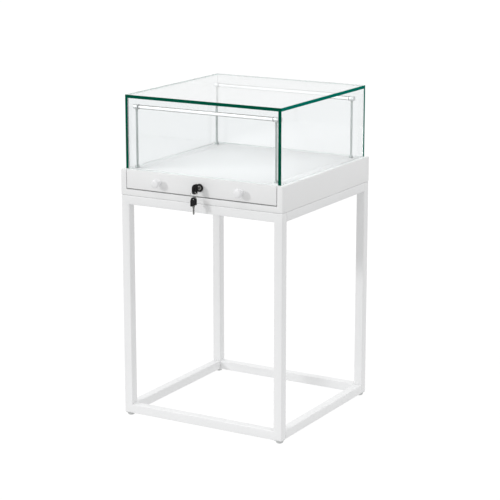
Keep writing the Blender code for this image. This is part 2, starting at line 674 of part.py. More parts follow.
showcase = empty("showcase", SHIFT)
deck_slide = empty("deck_slide", (0, -HALF_D, DRAWER_MID), showcase)
slide_axes = {
    side: empty(f"slide_middle_axis_{side}", (sx * WALL_X, -WALL_Y, SLIDE_MID), showcase)
    for side, sx in SIDES
}
lock_axis = empty("lock_axis", LOCK_POINT, deck_slide)
key_slide = empty("key_slide", LOCK_POINT, lock_axis)
ring_hinge = empty("ring_hinge", RING_TOP, key_slide)
spare_hinge = empty("spare_hinge", RING_LOW, ring_hinge)

build_stand(showcase)
build_box(showcase)
build_slides(showcase, deck_slide, slide_axes)
build_deck(deck_slide)
build_lock(deck_slide, lock_axis)
build_keys(key_slide, ring_hinge, spare_hinge)
build_hood(showcase)
build_lights(showcase)
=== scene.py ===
import math

import bmesh
import bpy
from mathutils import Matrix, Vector


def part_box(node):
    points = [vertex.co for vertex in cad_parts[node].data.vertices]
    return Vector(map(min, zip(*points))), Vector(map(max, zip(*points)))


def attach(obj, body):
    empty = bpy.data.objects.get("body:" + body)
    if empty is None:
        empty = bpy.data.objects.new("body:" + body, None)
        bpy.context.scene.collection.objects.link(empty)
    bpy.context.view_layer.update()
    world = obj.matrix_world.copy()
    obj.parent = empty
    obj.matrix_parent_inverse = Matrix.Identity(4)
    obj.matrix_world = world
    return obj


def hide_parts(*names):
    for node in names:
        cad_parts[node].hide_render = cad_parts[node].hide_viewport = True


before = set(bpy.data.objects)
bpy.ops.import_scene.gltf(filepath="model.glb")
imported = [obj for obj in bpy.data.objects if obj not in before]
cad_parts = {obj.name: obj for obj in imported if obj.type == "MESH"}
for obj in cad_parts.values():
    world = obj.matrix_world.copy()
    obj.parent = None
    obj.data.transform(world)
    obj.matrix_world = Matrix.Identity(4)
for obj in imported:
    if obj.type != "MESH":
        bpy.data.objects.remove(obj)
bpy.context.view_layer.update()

ENDS = ("front", "rear")
SIDES = ("left", "right")
ROOT = "showcase"

FLOOR_NEAR, FLOOR_FAR = 0.73, 0.54      # light given by the floor, near and far
SKY_LOW = 0.20                          # light from the horizon
SKY_SLOPE = (0.14, 0.03, 1.30)          # and how it grows towards the right and the top
HOOD_GAIN = 0.68                        # more for what comes in through the hood
SUN_POWER = 0.80
SUN_SPREAD = 7                          # degrees
SUN_WAY = (13, 18, -8.7)                # the way its light goes

CAMERA_AT = (2.40690, -4.12058, 1.60451)
LOOK_DOWN, LOOK_LEFT = 13.528, 30.070   # degrees
LENS = 127.171


# ------------------------------------------------------------------ procedural materials
class Look:
    """A material, with short ways to wire its nodes. Patterns are in the piece's own metres."""

    def __init__(self, name):
        self.material = bpy.data.materials.new(name)
        self.material.use_nodes = True
        self.tree = self.material.node_tree
        self.shader = self.tree.nodes["Principled BSDF"]
        self.coords = self.node("TexCoord").outputs["Object"]

    def node(self, kind, inputs=(), **settings):
        made = self.tree.nodes.new("ShaderNode" + kind)
        for key, value in settings.items():
            setattr(made, key, value)
        for key, value in dict(inputs).items():
            self.feed(made.inputs[key], value)
        return made

    def feed(self, socket, value):
        if isinstance(value, bpy.types.NodeSocket):
            self.tree.links.new(value, socket)
        else:
            socket.default_value = value

    def set(self, **sockets):
        for key, value in sockets.items():
            self.feed(self.shader.inputs[key.replace("_", " ")], value)

    def stretched(self, scale, turn=(0, 0, 0)):
        mapping = self.node("Mapping", {"Vector": self.coords, "Scale": scale, "Rotation": turn})
        return mapping.outputs["Vector"]

    def noise(self, scale, detail=2.0, vector=None, roughness=0.5):
        made = self.node("TexNoise", {
            "Vector": vector or self.coords, "Scale": scale, "Detail": detail,
            "Roughness": roughness,
        })
        return made.outputs["Fac"]

    def spread(self, value, low, high, start=0.3, stop=0.7):
        made = self.node("MapRange", {
            "Value": value, "From Min": start, "From Max": stop, "To Min": low, "To Max": high,
        })
        return made.outputs["Result"]

    def blend(self, factor, first, second):
        made = self.node("Mix", data_type="RGBA")
        self.feed(made.inputs[0], factor)
        self.feed(made.inputs[6], first if not isinstance(first, tuple) else (*first, 1))
        self.feed(made.inputs[7], second if not isinstance(second, tuple) else (*second, 1))
        return made.outputs[2]

    def math(self, operation, *values):
        made = self.node("Math", operation=operation)
        for socket, value in zip(made.inputs, values):
            self.feed(socket, value)
        return made.outputs[0]

    def bump(self, height, strength, distance, normal=None):
        made = self.node("Bump", {"Height": height, "Strength": strength, "Distance": distance})
        if normal:
            self.feed(made.inputs["Normal"], normal)
        return made.outputs["Normal"]


def coated(name, light, dark, patch, rough, grain, depth, metallic=0.0, vector=None, coat=0.0,
           glow=0.0, shine=0.5):
    """A paint, plastic or metal: cloudy colour, uneven gloss and a fine relief."""
    made = Look(name)
    vector = made.stretched(vector) if vector else made.coords
    clouds = made.noise(patch, 3.0, made.coords)
    fine = made.noise(grain, 2.0, vector)
    made.set(
        Base_Color=made.blend(made.spread(clouds, 0.0, 1.0), light, dark),
        Roughness=made.spread(made.noise(patch * 7, 4.0, vector), *rough),
        Metallic=metallic, Specular_IOR_Level=shine,
        Normal=made.bump(fine, 0.5, depth),
    )
    if coat:
        made.set(Coat_Weight=coat, Coat_Roughness=0.12)
    if glow:
        made.set(Emission_Color=(1.0, 1.0, 1.0, 1.0), Emission_Strength=glow)
    return made.material


POWDER = coated("powder_coat_white", (0.880, 0.884, 0.888), (0.862, 0.866, 0.870), 9.0,
                (0.40, 0.50), 1100.0, 0.00006)
PAINT = coated("white_painted_board", (0.880, 0.883, 0.884), (0.864, 0.867, 0.868), 6.0,
               (0.34, 0.44), 700.0, 0.00003)
DECK = coated("white_display_deck", (0.886, 0.888, 0.888), (0.872, 0.874, 0.873), 5.0,
              (0.42, 0.52), 900.0, 0.00003)
BACKER = coated("white_backer_board", (0.80, 0.80, 0.79), (0.76, 0.76, 0.75), 12.0,
                (0.55, 0.68), 500.0, 0.00006)
KNOB_WHITE = coated("white_moulded_knob", (0.885, 0.886, 0.895), (0.870, 0.872, 0.882), 60.0,
                    (0.24, 0.32), 1500.0, 0.00002, coat=0.25)
GLIDE_GREY = coated("grey_moulded_glide", (0.62, 0.63, 0.63), (0.55, 0.56, 0.56), 90.0,
                    (0.50, 0.62), 1300.0, 0.00005)
BLACK = coated("black_moulded_bow", (0.0075, 0.0075, 0.0085), (0.0045, 0.0045, 0.005), 120.0,
               (0.42, 0.55), 2600.0, 0.00003, shine=0.12)
NICKEL = coated("nickel_plate", (0.66, 0.64, 0.60), (0.56, 0.54, 0.51), 150.0,
                (0.20, 0.32), 900.0, 0.00002, metallic=1.0, vector=(1.0, 0.06, 1.0))
DARK_NICKEL = coated("dark_nickel_plate", (0.030, 0.029, 0.029), (0.018, 0.018, 0.018), 200.0,
                     (0.18, 0.30), 1500.0, 0.00002, metallic=1.0)
STEEL = coated("key_steel", (0.26, 0.26, 0.25), (0.18, 0.18, 0.175), 220.0,
               (0.24, 0.36), 1400.0, 0.00002, metallic=1.0, vector=(1.0, 1.0, 0.1))
CYLINDER = coated("lock_cylinder_steel", (0.36, 0.36, 0.35), (0.24, 0.24, 0.235), 260.0,
                  (0.20, 0.32), 1400.0, 0.00002, metallic=1.0)
# pale faces under the panes, made to glow: painted light that brightens the panes' lower edges and the gap
# beneath them
SEAL_PAINTED_GLOW = coated("pale_pane_seal_painted_glow", (0.82, 0.84, 0.84), (0.78, 0.80, 0.80), 40.0,
              (0.50, 0.60), 900.0, 0.00002, glow=0.70)
# dark grey glue joint colour with a faint glow added: the glow is painted light on the front pane's left end
JOINT_PAINTED_GLOW = coated("glued_pane_joint_painted_glow", (0.40, 0.39, 0.41), (0.34, 0.33, 0.35), 60.0,
               (0.50, 0.60), 900.0, 0.00002, glow=0.12)
SILVER = coated("satin_anodised_silver", (0.46, 0.50, 0.49), (0.38, 0.42, 0.41), 70.0,
                (0.30, 0.40), 1600.0, 0.00002, metallic=1.0, vector=(1.0, 1.0, 0.04))
# dark grey for the strips along the light tubes: painted shade of the tube's upper edge and underside
BAR_SHADE_GREY = coated("grey_strip_painted_tube_shade", (0.34, 0.34, 0.33), (0.27, 0.27, 0.26), 40.0,
                  (0.35, 0.45), 1300.0, 0.00002, metallic=1.0, vector=(0.05, 1.0, 1.0))
GASKET = coated("grey_cap_gasket", (0.16, 0.16, 0.16), (0.11, 0.11, 0.11), 120.0,
                (0.50, 0.60), 1300.0, 0.00002)
OPAL = coated("opal_diffuser", (0.90, 0.91, 0.92), (0.885, 0.895, 0.905), 20.0,
              (0.30, 0.38), 1300.0, 0.00002, glow=0.34)
CAP_SILVER = coated("pale_silver_cap", (0.72, 0.74, 0.74), (0.66, 0.68, 0.68), 60.0,
                    (0.26, 0.34), 1300.0, 0.00002, metallic=0.7)


def zinc_look():
    """Zinc-plated strip: bluish, with a faint crystal pattern and drawn lines along Y."""
    made = Look("zinc_plated_steel")
    crystals = made.node("TexVoronoi", {"Vector": made.coords, "Scale": 260.0})
    drawn = made.noise(700.0, 2.0, made.stretched((1.0, 0.02, 1.0)))
    tone = made.math("MULTIPLY_ADD", crystals.outputs["Distance"], 0.7, made.math("MULTIPLY", drawn, 0.4))
    made.set(
        Base_Color=made.blend(made.spread(tone, 0.0, 1.0, 0.2, 0.8), (0.72, 0.74, 0.77), (0.56, 0.58, 0.62)),
        Roughness=made.spread(drawn, 0.24, 0.40), Metallic=1.0,
        Normal=made.bump(drawn, 0.5, 0.00003),
    )
    return made.material


def wood_look():
    """Planed pine with its grain along Y."""
    made = Look("planed_pine")
    along = made.stretched((1.0, 0.045, 1.0))
    wander = made.noise(26.0, 3.0, along)
    rings = made.node("TexWave", {
        "Vector": along, "Scale": 46.0, "Distortion": 7.0, "Detail": 3.0, "Detail Scale": 2.2,
    }, wave_type="RINGS", rings_direction="Y")
    fibre = made.noise(1500.0, 2.0, made.stretched((1.0, 0.015, 1.0)))
    tone = made.blend(rings.outputs["Fac"], (0.78, 0.62, 0.42), (0.62, 0.44, 0.26))
    made.set(
        Base_Color=made.blend(made.spread(wander, 0.0, 0.5), tone, (0.83, 0.70, 0.50)),
        Roughness=made.spread(fibre, 0.55, 0.72), Normal=made.bump(fibre, 0.6, 0.00010),
    )
    return made.material


ZINC = zinc_look()
PINE = wood_look()

GLASS_BODY = (0.913, 0.926, 0.930)
EDGE_DEEP = (0.0003, 0.080, 0.043)
# paler green for edges seen slantwise: a painted reflection
EDGE_GRAZING_SHEEN = (0.0008, 0.178, 0.130)


def glass_look(name, edge):
    """Float glass that lets lamps through. On its edges the outside shows the body green."""
    made = Look(name)
    made.set(Roughness=0.0, IOR=1.5, Transmission_Weight=1.0)
    haze = made.noise(14.0, 3.0)
    clear = tuple(0.994 * c for c in GLASS_BODY)
    made.set(Base_Color=made.blend(haze, GLASS_BODY, clear))
    inner = made.shader.outputs["BSDF"]
    if edge:
        # the edge green turns paler where the edge is seen more slantwise: a painted reflection in the
        # colour, standing in for the glass's gloss; the streaks are random tone
        facing = made.node("LayerWeight", {"Blend": 0.5}).outputs["Facing"]
        streaks = made.noise(160.0, 2.0)
        sheen_and_streaks = made.math("MULTIPLY_ADD", streaks, 0.10, made.math("SUBTRACT", facing, 0.05))
        green = made.blend(made.spread(sheen_and_streaks, 0.0, 1.0, 0.17, 0.52), EDGE_DEEP, EDGE_GRAZING_SHEEN)
        skin = made.node("BsdfPrincipled", {"Base Color": green, "Roughness": 0.20,
                                            "Specular IOR Level": 0.0})
        backing = made.node("NewGeometry").outputs["Backfacing"]
        sided = made.node("MixShader", {0: backing, 1: skin.outputs["BSDF"], 2: inner})
        inner = sided.outputs[0]
    open_to_lamps = made.node("BsdfTransparent", {"Color": (0.975, 0.982, 0.980, 1)})
    path = made.node("LightPath").outputs["Is Shadow Ray"]
    both = made.node("MixShader", {0: path, 1: inner, 2: open_to_lamps.outputs[0]})
    output = made.tree.nodes["Material Output"]
    made.tree.links.new(both.outputs[0], output.inputs["Surface"])
    return made.material


GLASS = glass_look("float_glass", edge=False)
GLASS_EDGE = glass_look("float_glass_edge", edge=True)


# ------------------------------------------------------------------ mesh helpers
def fillet(points, steps=4, closed=True):
    """Corner points (x, y, radius) with each corner turned into an arc."""
    out = []
    last = len(points) - 1
    for i, point in enumerate(points):
        x, y, radius = (*point, 0.0)[:3]
        here = Vector((x, y))
        if radius == 0 or (not closed and i in (0, last)):
            out.append(here)
            continue
        before = Vector(points[i - 1][:2]) - here
        after = Vector(points[(i + 1) % len(points)][:2]) - here
        u, v = before.normalized(), after.normalized()
        half = math.acos(max(-1.0, min(1.0, u.dot(v)))) / 2
        reach = min(radius / math.tan(half), 0.49 * before.length, 0.49 * after.length)
        centre = here + (u + v).normalized() * reach / math.cos(half)
        start, stop = here + u * reach - centre, here + v * reach - centre
        sweep_angle = math.atan2(start.x * stop.y - start.y * stop.x, start.dot(stop))
        for k in range(steps + 1):
            t = sweep_angle * k / steps
            out.append(centre + Vector((
                start.x * math.cos(t) - start.y * math.sin(t),
                start.x * math.sin(t) + start.y * math.cos(t),
            )))
    return out


def ready(shape):
    bmesh.ops.recalc_face_normals(shape, faces=shape.faces)
    return shape


def lathe(profile, origin, direction, sides=48, closed=False):
    """(radius, distance) pairs turned about an axis through origin."""
    shape = bmesh.new()
    turn = Vector((0, 0, 1)).rotation_difference(Vector(direction)).to_matrix()
    origin = Vector(origin)
    rings = []
    for radius, along in profile:
        count = 1 if radius < 1e-7 else sides
        rings.append([shape.verts.new(origin + turn @ Vector((
            radius * math.cos(2 * math.pi * i / sides), radius * math.sin(2 * math.pi * i / sides),
            along))) for i in range(count)])
    pairs = list(zip(rings, rings[1:])) + ([(rings[-1], rings[0])] if closed else [])
    for near, far in pairs:
        count = max(len(near), len(far))
        for i in range(count):
            j = (i + 1) % count
            loop = [near[i % len(near)], near[j % len(near)], far[j % len(far)], far[i % len(far)]]
            loop = list(dict.fromkeys(loop))
            if len(loop) > 2:
                shape.faces.new(loop)
    return ready(shape)


def prism(outline, u, v, start, stop, origin=(0, 0, 0), edge=0.0, steps=2):
    """A flat outline drawn out along u x v, with its two rims rounded."""
    u, v, origin = Vector(u), Vector(v), Vector(origin)
    along = u.cross(v)
    shape = bmesh.new()
    ends = [
        [shape.verts.new(origin + u * a + v * b + along * w) for a, b in outline]
        for w in (start, stop)
    ]
    caps = [shape.faces.new(ring) for ring in ends]
    count = len(outline)
    for i in range(count):
        j = (i + 1) % count
        shape.faces.new((ends[0][i], ends[0][j], ends[1][j], ends[1][i]))
    if edge:
        rims = [e for cap in caps for e in cap.edges]
        bmesh.ops.bevel(shape, geom=rims, offset=edge, segments=steps, affect="EDGES", profile=0.5,
                        clamp_overlap=True)
    return ready(shape)


def soften(shape, radius, steps=3, keep=None):
    """Round the outward edges, except those that keep says to leave."""
    shape.normal_update()
    sharp = [
        e for e in shape.edges
        if len(e.link_faces) == 2 and e.is_convex and e.calc_face_angle(0) > 0.5
        and not (keep and keep(e))
    ]
    if sharp:
        bmesh.ops.bevel(shape, geom=sharp, offset=radius, segments=steps, affect="EDGES",
                        profile=0.5, clamp_overlap=True)
    return ready(shape)


def cells(xs, ys, zs, filled):
    """One closed mesh round the filled cells of a grid: filled takes the cell's three numbers."""
    shape = bmesh.new()
    made = {}

    def corner(i, j, k):
        if (i, j, k) not in made:
            made[i, j, k] = shape.verts.new((xs[i], ys[j], zs[k]))
        return made[i, j, k]

    spans = (len(xs) - 1, len(ys) - 1, len(zs) - 1)
    solid = {
        (i, j, k) for i in range(spans[0]) for j in range(spans[1]) for k in range(spans[2])
        if filled(i, j, k)
    }
    for cell in sorted(solid):
        for axis in range(3):
            for side in (0, 1):
                beyond = list(cell)
                beyond[axis] += 1 if side else -1
                if tuple(beyond) in solid:
                    continue
                a, b = [x for x in range(3) if x != axis]
                loop = []
                for da, db in ((0, 0), (1, 0), (1, 1), (0, 1)):
                    at = list(cell)
                    at[axis] += side
                    at[a] += da
                    at[b] += db
                    loop.append(corner(*at))
                shape.faces.new(loop)
    ready(shape)
    bmesh.ops.dissolve_limit(shape, angle_limit=0.01, verts=shape.verts, edges=shape.edges)
    return ready(shape)


def block(low, high, radius=0.0, steps=3):
    """A box between two corners with rounded edges."""
    shape = cells(*[(a, b) for a, b in zip(low, high)], lambda *_: True)
    return soften(shape, radius, steps) if radius else shape


def sweep(points, radius, sides=12, closed=False):
    """A round wire along a line of points."""
    shape = bmesh.new()
    points = [Vector(p) for p in points]
    count = len(points)
    rings = []
    normal = None
    for i, here in enumerate(points):
        before = points[i - 1] if (closed or i) else here
        after = points[(i + 1) % count] if (closed or i < count - 1) else here
        along = (after - before).normalized()
        if normal is None:
            normal = along.orthogonal().normalized()
        normal = (normal - along * normal.dot(along)).normalized()
        across = along.cross(normal)
        rings.append([
            shape.verts.new(here + normal * radius * math.cos(a) + across * radius * math.sin(a))
            for a in (2 * math.pi * k / sides for k in range(sides))
        ])
    pairs = list(zip(rings, rings[1:])) + ([(rings[-1], rings[0])] if closed else [])
    for near, far in pairs:
        for i in range(sides):
            j = (i + 1) % sides
            shape.faces.new((near[i], near[j], far[j], far[i]))
    if not closed:
        shape.faces.new(rings[0])
        shape.faces.new(rings[-1])
    return ready(shape)


def joined(*shapes):
    """Several closed shapes in one mesh."""
    made = bmesh.new()
    for shape in shapes:
        mesh = bpy.data.meshes.new("part")
        shape.to_mesh(mesh)
        shape.free()
        made.from_mesh(mesh)
        bpy.data.meshes.remove(mesh)
    return made


def carved(target, *tools, operation="DIFFERENCE"):
    """The target with closed shapes taken out of it, or joined to it."""
    made = []
    for shape in (target, *tools):
        mesh = bpy.data.meshes.new("carving")
        shape.to_mesh(mesh)
        shape.free()
        thing = bpy.data.objects.new("carving", mesh)
        bpy.context.scene.collection.objects.link(thing)
        made.append(thing)
    for tool in made[1:]:
        step = made[0].modifiers.new("carve", "BOOLEAN")
        step.operation = operation
        step.object = tool
        step.solver = "EXACT"
    bpy.context.view_layer.update()
    graph = bpy.context.evaluated_depsgraph_get()
    mesh = bpy.data.meshes.new_from_object(made[0].evaluated_get(graph))
    shape = bmesh.new()
    shape.from_mesh(mesh)
    bpy.data.meshes.remove(mesh)
    for thing in made:
        old = thing.data
        bpy.data.objects.remove(thing)
        bpy.data.meshes.remove(old)
    return shape


def paint(shape, index, test):
    """Give the faces that pass the test another of the piece's materials."""
    shape.normal_update()
    for face in shape.faces:
        if test(face):
            face.material_index = index
    return shape


def piece(name, shape, looks, body, nodes=(), smooth=30):
    """A finished piece on a CAD body, standing for CAD nodes."""
    mesh = bpy.data.meshes.new(name)
    shape.to_mesh(mesh)
    shape.free()
    mesh.validate()
    for look in looks if isinstance(looks, (list, tuple)) else [looks]:
        mesh.materials.append(look)
    if smooth:
        mesh.shade_smooth()
        mesh.set_sharp_from_angle(angle=math.radians(smooth))
    made = bpy.data.objects.new(name, mesh)
    bpy.context.scene.collection.objects.link(made)
    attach(made, body)
    if nodes:
        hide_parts(*([nodes] if isinstance(nodes, str) else nodes))
    return made


def box_of(*names):
    """Lowest and highest corner round several CAD nodes."""
    boxes = [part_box(name) for name in names]
    low = Vector([min(b[0][i] for b in boxes) for i in range(3)])
    high = Vector([max(b[1][i] for b in boxes) for i in range(3)])
    return low, high


# ------------------------------------------------------------------ the stand
TUBE_ROUND = 0.0025
leg_low, leg_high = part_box("leg_front_left")
TUBE = leg_high.x - leg_low.x

for end in ENDS:
    nodes = [f"leg_{end}_left", f"leg_{end}_right", f"top_rail_{end}", f"bottom_rail_{end}"]
    low, high = box_of(*nodes)
    shape = cells(
        (low.x, low.x + TUBE, high.x - TUBE, high.x), (low.y, high.y),
        (low.z, low.z + TUBE, high.z - TUBE, high.z), lambda i, j, k: not (i == 1 and k == 1),
    )
    piece(f"welded_frame_{end}", soften(shape, TUBE_ROUND, 5), POWDER, ROOT, nodes)

for side in SIDES:
    for level in ("top", "bottom"):
        node = f"{level}_rail_{side}"
        low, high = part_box(node)
        half_x, half_z = (high.x - low.x) / 2, (high.z - low.z) / 2
        outline = fillet([(-half_x, -half_z, TUBE_ROUND), (half_x, -half_z, TUBE_ROUND),
                          (half_x, half_z, TUBE_ROUND), (-half_x, half_z, TUBE_ROUND)], 5)
        centre = (low + high) / 2
        shape = prism(outline, (1, 0, 0), (0, 0, 1), low.y - centre.y, high.y - centre.y, centre,
                      edge=0.0004)
        piece(f"side_rail_{level}_{side}", shape, POWDER, ROOT, node)

for end in ENDS:
    for side in SIDES:
        node = f"glide_{end}_{side}"
        low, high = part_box(node)
        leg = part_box(f"leg_{end}_{side}")[0]
        reach, tall = (high.x - low.x) / 2, leg.z
        profile = fillet([
            (0, 0), (reach * 0.56, 0, 0.0012), (reach * 0.88, tall * 0.24, 0.0025),
            (reach, tall * 0.66, 0.0012), (reach * 0.99, tall * 0.80, 0.0004),
            (reach * 0.90, tall * 0.80, 0.0003), (reach * 0.90, tall - 0.0003),
            (0, tall - 0.0003),
        ], 4, closed=False)
        at = ((low.x + high.x) / 2, (low.y + high.y) / 2, 0)
        foot = lathe(profile, at, (0, 0, 1), 48)
        inset = TUBE / 2 - 0.0016
        flange = block((at[0] - inset, at[1] - inset, tall - 0.0012),
                       (at[0] + inset, at[1] + inset, tall + 0.0004), 0.0004, 2)
        piece(f"levelling_{node}", joined(foot, flange), GLIDE_GREY, ROOT, node)


# ------------------------------------------------------------------ the box
PAINT_ROUND = 0.0007
FOOT_ROUND = 0.0018
BODY_HOLE = 0.0093                      # for the lock, in the drawer front and the nut
low, high = box_of("box_side_left", "box_side_right")
inner_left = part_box("box_side_left")[1].x
inner_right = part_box("box_side_right")[0].x
rail_low, rail_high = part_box("box_front_rail")
rear_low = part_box("box_rear_panel")[0]
shell = cells(
    (low.x, inner_left, inner_right, high.x), (low.y, rail_high.y, rear_low.y, high.y),
    (low.z, rail_high.z, high.z),
    lambda i, j, k: i != 1 or j == 2 or (j == 0 and k == 0),
)
inlet_low, inlet_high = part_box("dc_inlet")
inlet = (inlet_low + inlet_high) / 2
inlet_radius = (inlet_high.x - inlet_low.x) / 2
foot = low.z + 1e-5
shell = soften(shell, FOOT_ROUND, 4, keep=lambda e: any(v.co.z > foot for v in e.verts))
shell = soften(shell, PAINT_ROUND, 3)
hole = lathe([(0, -0.03), (inlet_radius * 0.79, -0.03), (inlet_radius * 0.79, 0.03), (0, 0.03)],
             (inlet.x, high.y, inlet.z), (0, 1, 0), 40)
piece("box_carcass", carved(shell, hole), PAINT, ROOT,
      ("box_side_left", "box_side_right", "box_front_rail", "box_rear_panel"))

for side in SIDES:
    low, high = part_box(f"ledge_{side}")
    piece(f"fixed_ledge_{side}", block(low, high, 0.0003, 2), DECK, ROOT, f"ledge_{side}")

low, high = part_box("box_bottom_panel")
piece("underside_panel", block(low, high, 0.0004, 2), BACKER, ROOT, "box_bottom_panel")

low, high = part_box("deck_board")
piece("display_deck", block(low, high, 0.0003, 2), DECK, "deck", "deck_board")
for side in SIDES:
    low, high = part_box(f"deck_bearer_{side}")
    piece(f"bearer_{side}", block(low, high, 0.0006, 2), PINE, "deck", f"deck_bearer_{side}")

drawer_low, drawer_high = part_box("drawer_front")
lock_low, lock_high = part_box("lock_barrel")
lock = Vector(((lock_low.x + lock_high.x) / 2, lock_low.y, (lock_low.z + lock_high.z) / 2))
board = block(drawer_low, drawer_high, PAINT_ROUND, 3)
bore = lathe([(0, -0.03), (BODY_HOLE, -0.03), (BODY_HOLE, 0.03), (0, 0.03)],
             (lock.x, drawer_low.y, lock.z), (0, 1, 0), 48)
piece("drawer_panel", carved(board, bore), PAINT, "deck", "drawer_front")

for side in SIDES:
    node = f"knob_{side}"
    low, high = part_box(node)
    radius = (high.x - low.x) / 2
    face = drawer_low.y
    reach = face - low.y
    profile = fillet([
        (0, -0.0100), (0.0024, -0.0100), (0.0024, 0.0003), (radius * 0.60, 0.0003, 0.0006),
        (radius * 0.60, 0.0022, 0.0012), (radius * 0.40, 0.0062, 0.0035),
        (radius * 0.40, 0.0110, 0.0035), (radius * 0.92, 0.0158, 0.0022),
        (radius, 0.0198, 0.0026), (radius * 0.86, reach * 0.95, 0.0060),
        (radius * 0.40, reach, 0.0100), (0, reach),
    ], 7, closed=False)
    shape = lathe(profile, ((low.x + high.x) / 2, face, (low.z + high.z) / 2), (0, -1, 0), 64)
    piece(f"turned_{node}", shape, KNOB_WHITE, "deck", node, smooth=50)


# ------------------------------------------------------------------ the cam lock
BORE, PLUG = 0.0063, 0.0060             # radii
THREAD, THREAD_ROOT = 0.0090, 0.0086
HALF_SHANK = 0.004
flange_radius = (lock_high.x - lock_low.x) / 2
body_end = lock_high.y - lock.y
flange_back = drawer_low.y - lock.y - 0.0003
profile = fillet([
    (BORE, 0.0007), (BORE + 0.0009, 0.0001, 0.0003), (flange_radius - 0.0016, 0, 0.0008),
    (flange_radius, 0.0012, 0.0008), (flange_radius, flange_back), (THREAD, flange_back),
], 4, closed=False)
along, pitch = flange_back + 0.0012, 0.0010
while along + pitch < body_end:
    profile += [Vector((THREAD_ROOT, along)), Vector((THREAD, along + pitch * 0.5))]
    along += pitch
profile += [Vector((THREAD_ROOT, body_end - 0.0003)), Vector((THREAD_ROOT - 0.0003, body_end)),
            Vector((BORE, body_end))]
piece("lock_housing", lathe(profile, lock, (0, 1, 0), 56, closed=True), DARK_NICKEL, "deck",
      "lock_barrel", smooth=40)

low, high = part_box("lock_nut")
centre = (low + high) / 2
corner = (high.x - low.x) / 2
hexagon = [(corner * math.cos(math.pi / 3 * i), corner * math.sin(math.pi / 3 * i)) for i in range(6)]
half = (high.y - low.y) / 2
nut = prism(hexagon, (1, 0, 0), (0, 0, 1), -half, half, centre, edge=0.0006)
thread = lathe([(0, -0.01), (BODY_HOLE, -0.01), (BODY_HOLE, 0.01), (0, 0.01)], centre, (0, 1, 0), 48)
piece("lock_ring_nut", carved(nut, thread), NICKEL, "deck", "lock_nut")

plug_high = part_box("lock_plug")[1]
cam_low, cam_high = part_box("lock_cam")
plug_end = body_end + 0.0003
profile = fillet([
    (0, 0.0004), (PLUG - 0.0010, 0.0004, 0.0004), (PLUG, 0.0011, 0.0003), (PLUG, plug_end),
    (0, plug_end),
], 3, closed=False)
barrel = lathe(profile, lock, (0, 1, 0), 48)
shank = block(lock + Vector((-HALF_SHANK, plug_end - 0.001, -HALF_SHANK)),
              lock + Vector((HALF_SHANK, cam_high.y - lock.y + 0.0002, HALF_SHANK)), 0.0004, 2)
head = lathe(fillet([(0, 0.0), (0.0050, 0.0), (0.0050, 0.0009, 0.0005), (0.0030, 0.0017, 0.0008),
                     (0, 0.0018)], 4, closed=False),
             (lock.x, plug_high.y - 0.0018, lock.z), (0, 1, 0), 32)
keyway = block(lock + Vector((-0.0012, -0.005, -0.0037)), lock + Vector((0.0012, 0.0142, 0.0037)))
mouth = lathe([(0, -0.001), (0.0042, -0.001), (0.0042, 0.0008), (0, 0.0008)], lock, (0, 1, 0), 32)
slots = [block(Vector((lock.x - a, plug_high.y - 0.0009, lock.z - b)),
               Vector((lock.x + a, plug_high.y + 0.001, lock.z + b))) for a, b in
         ((0.0028, 0.0005), (0.0005, 0.0028))]
body = carved(barrel, shank, head, operation="UNION")
piece("lock_cylinder", carved(body, keyway, mouth, *slots), CYLINDER, "lock", "lock_plug",
      smooth=40)

SHEET = 0.002
NUT_REACH, NUT_GAP = 0.0139, 0.0010     # the cam's crank clears the nut's corners
HALF_SHANK_HOLE = 0.0043
width = cam_high.z - cam_low.z
crank = lock.x - NUT_REACH - NUT_GAP
near = plug_end + 0.0003
tip = cam_low.y - lock.y
side = fillet([
    (cam_high.x, near + SHEET), (crank - SHEET * 0.6, near + SHEET, 0.0012),
    (crank - SHEET * 1.6, tip + SHEET, 0.0012), (cam_low.x, tip + SHEET), (cam_low.x, tip),
    (crank - SHEET, tip, 0.0012), (crank, near, 0.0012), (cam_high.x, near),
], 4)
strip = prism(side, (1, 0, 0), (0, 1, 0), -width / 2, width / 2, (0, lock.y, lock.z), edge=0.0003)
plan = fillet([(cam_low.x, cam_low.z, 0.005), (cam_high.x, cam_low.z, 0.005),
               (cam_high.x, cam_high.z, 0.005), (cam_low.x, cam_high.z, 0.005)], 8)
shape = prism(plan, (1, 0, 0), (0, 0, 1), -0.03, 0.03, (0, lock.y + near, 0))
hole = block(lock + Vector((-HALF_SHANK_HOLE, near - 0.001, -HALF_SHANK_HOLE)),
             lock + Vector((HALF_SHANK_HOLE, near + 0.004, HALF_SHANK_HOLE)))
piece("lock_tongue", carved(carved(strip, shape, operation="INTERSECT"), hole), ZINC, "lock",
      "lock_cam", smooth=40)


# ------------------------------------------------------------------ the keys and their ring
BLADE_HALF = 0.0034
NECK = 0.0040                           # length of the blade's shoulder
BOW_RIM = 0.0035
CUTS = (0.0009, 0.0016, 0.0006, 0.0013, 0.0004)


